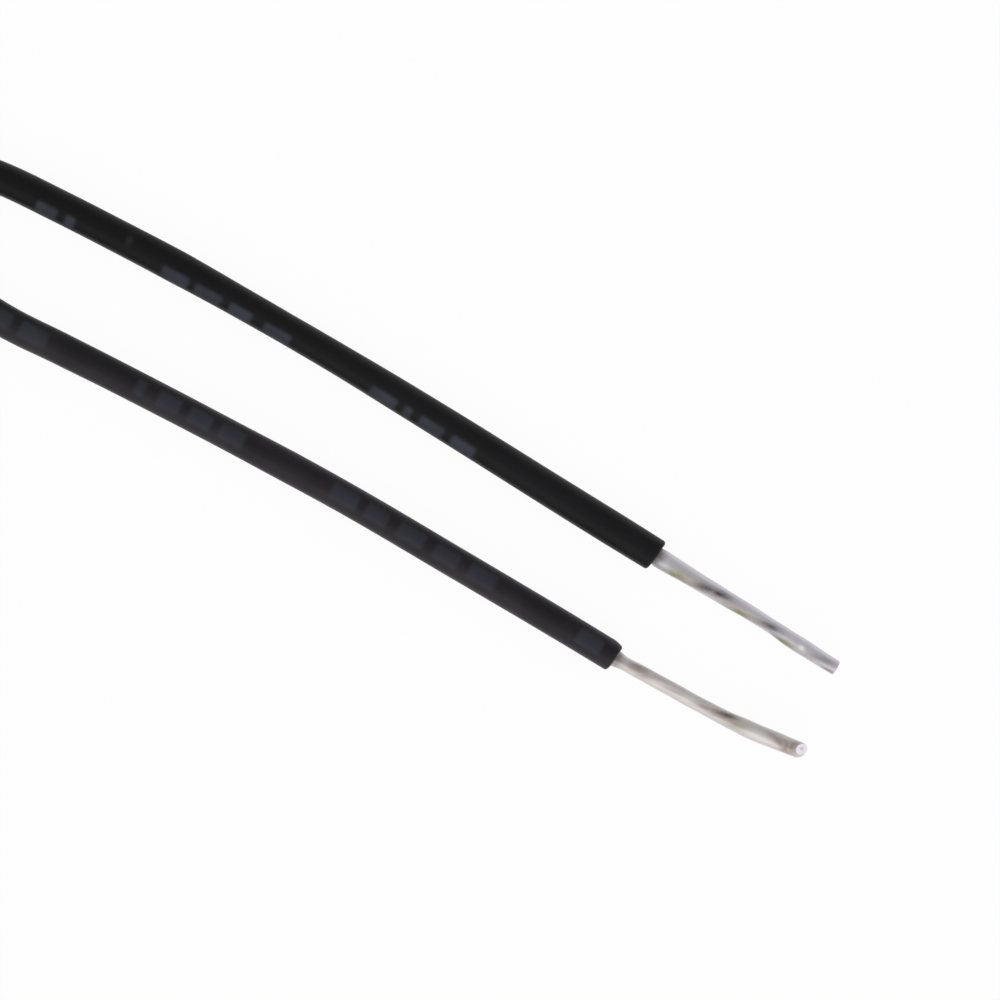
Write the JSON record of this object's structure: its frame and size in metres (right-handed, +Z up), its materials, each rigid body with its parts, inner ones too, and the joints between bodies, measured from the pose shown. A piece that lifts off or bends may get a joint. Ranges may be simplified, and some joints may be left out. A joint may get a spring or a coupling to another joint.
{
  "type": "bead thermistor",
  "caption": "Small drop-shaped epoxy bead over a soldered ceramic chip, with two insulated leads wound in a storage coil and stripped, tinned free ends.",
  "frame": {"origin": "under the middle of the bead, on the surface that it lies on", "axes": "+X along the bead, from its nose to the leads; +Z up"},
  "size_m": [0.0754, 0.021, 0.0045],
  "materials": {
    "jacket": "satin, extruded",
    "coating": "dipped, semi-gloss",
    "ceramic": "fired, matte",
    "solder": "soft metal",
    "tinned_wire": "solder coated, satin",
    "band": "smooth"
  },
  "bodies": {
    "root": {"bead_coating": "coating", "thermistor_chip": "ceramic", "solder_joint_a": "solder", "solder_joint_b": "solder", "chip_wire_a": "tinned_wire", "chip_wire_b": "tinned_wire", "bead_lead_a": "jacket", "bead_lead_b": "jacket", "lead_coil": "jacket", "coil_tie": "band", "free_lead_a": "jacket", "free_lead_b": "jacket", "tinned_end_a": "tinned_wire", "tinned_end_b": "tinned_wire"}
  },
  "joints": []
}
